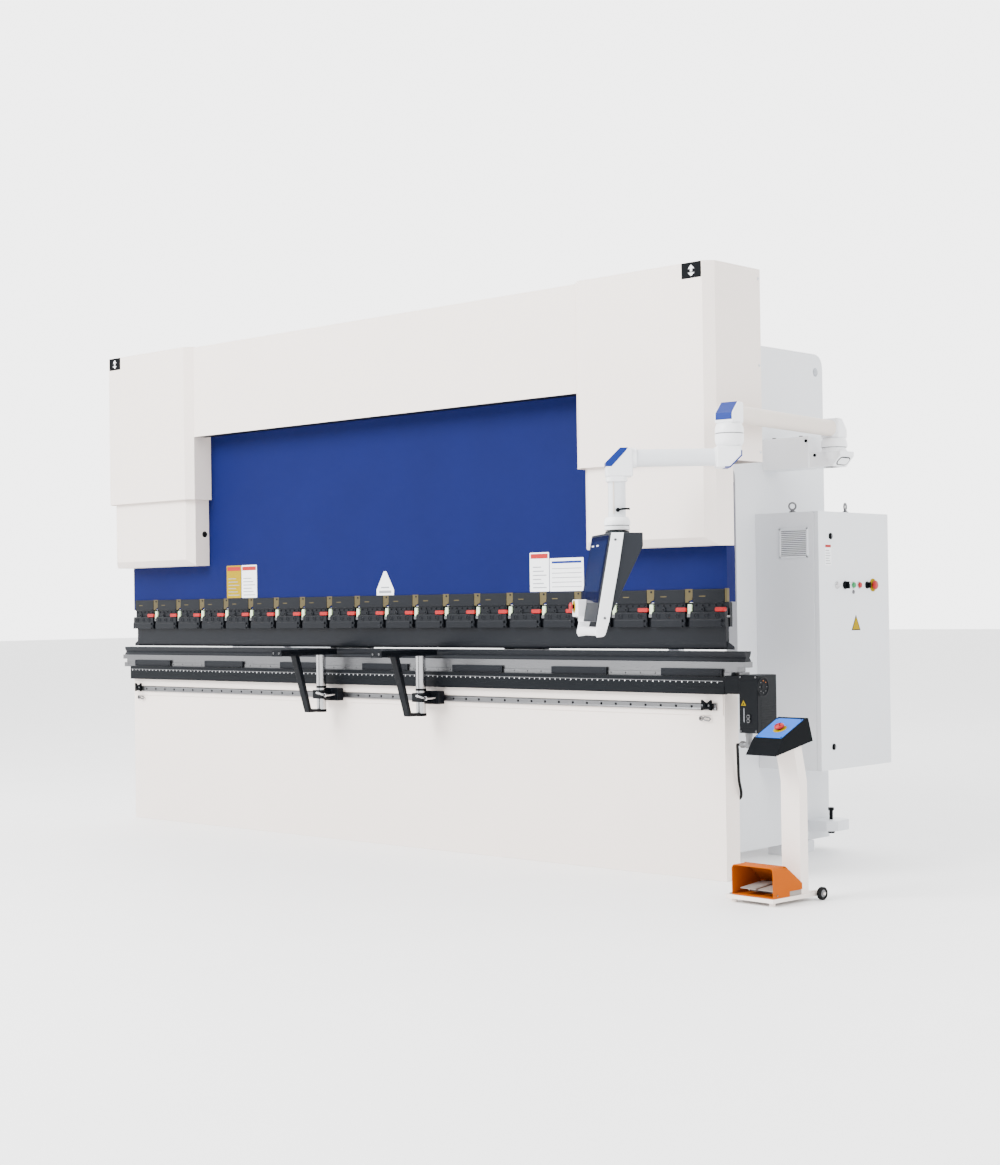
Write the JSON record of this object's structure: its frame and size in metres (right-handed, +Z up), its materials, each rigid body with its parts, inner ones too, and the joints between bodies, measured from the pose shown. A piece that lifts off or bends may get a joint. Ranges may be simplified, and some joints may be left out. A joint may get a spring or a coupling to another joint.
{
  "type": "hydraulic press brake",
  "caption": "Long hydraulic press brake with a sliding ram, segmented tool clamps, back gauge, swinging control pendant, sheet supports, side cabinet and a loose foot-pedal stand.",
  "frame": {"origin": "on the floor, midway along the bed, under the bend line", "axes": "+X to the operator's right along the bed, +Y away from the operator, +Z up"},
  "size_m": [4.6371, 1.8704, 2.499],
  "materials": {
    "white_paint": "semi-gloss warm white powder coat",
    "grey_paint": "semi-gloss light grey powder coat",
    "blue_paint": "semi-gloss blue enamel",
    "black_paint": "satin black paint",
    "orange_paint": "semi-gloss orange enamel",
    "tool_steel": "blackened, ground tool steel with a light oil film",
    "bare_steel": "ground bare steel",
    "chrome": "hard chrome",
    "dark_plastic": "moulded dark grey plastic",
    "red_plastic": "glossy red plastic",
    "black_plastic": "moulded black plastic",
    "rubber": "matt black rubber",
    "pedal_grey": "worn grey casting"
  },
  "bodies": {
    "machine": {"side_frame_left": "grey_paint", "side_frame_right": "grey_paint", "bed_plate": "white_paint", "rail_carrier": "white_paint", "front_beam": "black_paint", "beam_end_block": "black_paint", "drive_unit": "black_paint", "linear_rail": "bare_steel", "crowning_rail": "bare_steel", "die_rail": "bare_steel", "v_die": "tool_steel", "cylinder_cover_left": "white_paint", "cylinder_cover_right": "white_paint", "centre_fascia": "white_paint", "hydraulic_cylinder_left": "black_paint", "hydraulic_cylinder_right": "black_paint", "oil_tank": "grey_paint", "rear_crossbeam": "grey_paint", "pump_motor": "blue_paint", "cabinet_shell": "grey_paint", "arm_bracket": "white_paint", "jack_screw_left": "black_paint", "jack_screw_right": "black_paint", "backgauge_rail_left": "bare_steel", "backgauge_rail_right": "bare_steel", "drive_cable": "rubber"},
    "ram": {"ram_plate": "blue_paint", "piston_rod_left": "chrome", "piston_rod_right": "chrome", "lower_cover_left": "white_paint", "lower_cover_right": "white_paint", "tool_clamps": "tool_steel", "punch": "tool_steel"},
    "gauge_carriage": {"gauge_carriage": "grey_paint"},
    "gauge_beam": {"gauge_beam": "bare_steel"},
    "gauge_finger_left": {"gauge_finger_left": "tool_steel"},
    "gauge_finger_right": {"gauge_finger_right": "tool_steel"},
    "support_carriage_left": {"support_carriage_left": "bare_steel"},
    "support_carriage_right": {"support_carriage_right": "bare_steel"},
    "support_post_left": {"support_post_left": "black_paint"},
    "support_post_right": {"support_post_right": "black_paint"},
    "support_lever_left": {"support_lever_left": "chrome"},
    "support_lever_right": {"support_lever_right": "chrome"},
    "upper_arm": {"upper_arm": "white_paint"},
    "lower_arm": {"lower_arm": "white_paint"},
    "pendant": {"pendant_housing": "dark_plastic", "pendant_handle": "white_paint"},
    "pendant_clamp_lever": {"pendant_clamp_lever": "black_plastic"},
    "pendant_estop": {"pendant_estop": "red_plastic"},
    "cabinet_door": {"cabinet_door": "grey_paint"},
    "door_estop": {"door_estop": "red_plastic"},
    "main_switch": {"main_switch": "black_plastic"},
    "pedestal": {"pedestal_stand": "white_paint", "pedestal_console": "black_plastic", "pedal_guard": "orange_paint"},
    "pedal_left": {"pedal_left": "pedal_grey"},
    "pedal_right": {"pedal_right": "pedal_grey"},
    "wheel_left": {"wheel_left": "rubber"},
    "wheel_right": {"wheel_right": "rubber"},
    "pedestal_estop": {"pedestal_estop": "red_plastic"}
  },
  "joints": [
    {"name": "ram_stroke", "type": "slide", "parent": "machine", "child": "ram", "axis": [0, 0, 1], "range_m": [0, 0.2]},
    {"name": "gauge_depth", "type": "slide", "parent": "machine", "child": "gauge_carriage", "axis": [0, 1, 0], "range_m": [-0.15, 0.25]},
    {"name": "gauge_height", "type": "slide", "parent": "gauge_carriage", "child": "gauge_beam", "axis": [0, 0, 1], "range_m": [-0.03, 0.06]},
    {"name": "gauge_finger_left_slide", "type": "slide", "parent": "gauge_beam", "child": "gauge_finger_left", "axis": [1, 0, 0], "range_m": [-0.6, 0.5]},
    {"name": "gauge_finger_right_slide", "type": "slide", "parent": "gauge_beam", "child": "gauge_finger_right", "axis": [1, 0, 0], "range_m": [-0.5, 0.6]},
    {"name": "support_left_slide", "type": "slide", "parent": "machine", "child": "support_carriage_left", "axis": [1, 0, 0], "range_m": [-1.4, 0.15]},
    {"name": "support_right_slide", "type": "slide", "parent": "machine", "child": "support_carriage_right", "axis": [1, 0, 0], "range_m": [-0.2, 1.3]},
    {"name": "support_left_height", "type": "slide", "parent": "support_carriage_left", "child": "support_post_left", "axis": [0, 0, 1], "range_m": [0, 0.04]},
    {"name": "support_right_height", "type": "slide", "parent": "support_carriage_right", "child": "support_post_right", "axis": [0, 0, 1], "range_m": [0, 0.04]},
    {"name": "support_left_lever", "type": "hinge", "parent": "support_carriage_left", "child": "support_lever_left", "pos_m": [-0.285, -0.102, 0.71], "axis": [0, 1, 0], "range_deg": [-60, 60]},
    {"name": "support_right_lever", "type": "hinge", "parent": "support_carriage_right", "child": "support_lever_right", "pos_m": [0.401, -0.102, 0.71], "axis": [0, 1, 0], "range_deg": [-60, 60]},
    {"name": "arm_shoulder", "type": "hinge", "parent": "machine", "child": "upper_arm", "pos_m": [2.052, 0.7, 1.79], "axis": [0, 0, 1], "range_deg": [0, 70]},
    {"name": "arm_elbow", "type": "hinge", "parent": "upper_arm", "child": "lower_arm", "pos_m": [2.154, -0.209, 1.79], "axis": [0, 0, 1], "range_deg": [-10, 60]},
    {"name": "pendant_swivel", "type": "hinge", "parent": "lower_arm", "child": "pendant", "pos_m": [1.831, -0.515, 1.416], "axis": [0, 0, 1], "range_deg": [-60, 60]},
    {"name": "pendant_clamp", "type": "hinge", "parent": "lower_arm", "child": "pendant_clamp_lever", "pos_m": [1.831, -0.515, 1.495], "axis": [0.6877, -0.726, 0], "range_deg": [-35, 35]},
    {"name": "pendant_estop_push", "type": "slide", "parent": "pendant", "child": "pendant_estop", "axis": [0.606, 0.7955, 0], "range_m": [0, 0.005], "stiffness_N_per_m": 2000},
    {"name": "cabinet_door_hinge", "type": "hinge", "parent": "machine", "child": "cabinet_door", "pos_m": [2.04, 1.15, 0.959], "axis": [0, 0, 1], "range_deg": [0, 110]},
    {"name": "door_estop_push", "type": "slide", "parent": "cabinet_door", "child": "door_estop", "axis": [-1, 0, 0], "range_m": [0, 0.005], "stiffness_N_per_m": 2000},
    {"name": "main_switch_turn", "type": "hinge", "parent": "cabinet_door", "child": "main_switch", "pos_m": [2.04, 0.788, 1.198], "axis": [1, 0, 0], "range_deg": [0, 90]},
    {"name": "pedestal_move", "type": "slide", "parent": "machine", "child": "pedestal", "axis": [1, 0, 0], "range_m": [0, 0.4]},
    {"name": "pedal_left_press", "type": "hinge", "parent": "pedestal", "child": "pedal_left", "pos_m": [2.38565, -0.30156, 0.064], "axis": [0.9976, -0.0698, 0], "range_deg": [0, 8], "stiffness_Nm_per_rad": 20},
    {"name": "pedal_right_press", "type": "hinge", "parent": "pedestal", "child": "pedal_right", "pos_m": [2.46945, -0.30742, 0.064], "axis": [0.9976, -0.0698, 0], "range_deg": [0, 8], "stiffness_Nm_per_rad": 20},
    {"name": "wheel_left_spin", "type": "hinge", "parent": "pedestal", "child": "wheel_left", "pos_m": [2.27738, -0.1727, 0.025], "axis": [0.9976, -0.0698, 0], "continuous": true},
    {"name": "wheel_right_spin", "type": "hinge", "parent": "pedestal", "child": "wheel_right", "pos_m": [2.53874, -0.19097, 0.025], "axis": [0.9976, -0.0698, 0], "continuous": true},
    {"name": "pedestal_estop_push", "type": "slide", "parent": "pedestal", "child": "pedestal_estop", "axis": [0.0298, 0.4263, -0.9041], "range_m": [0, 0.005], "stiffness_N_per_m": 2000}
  ]
}
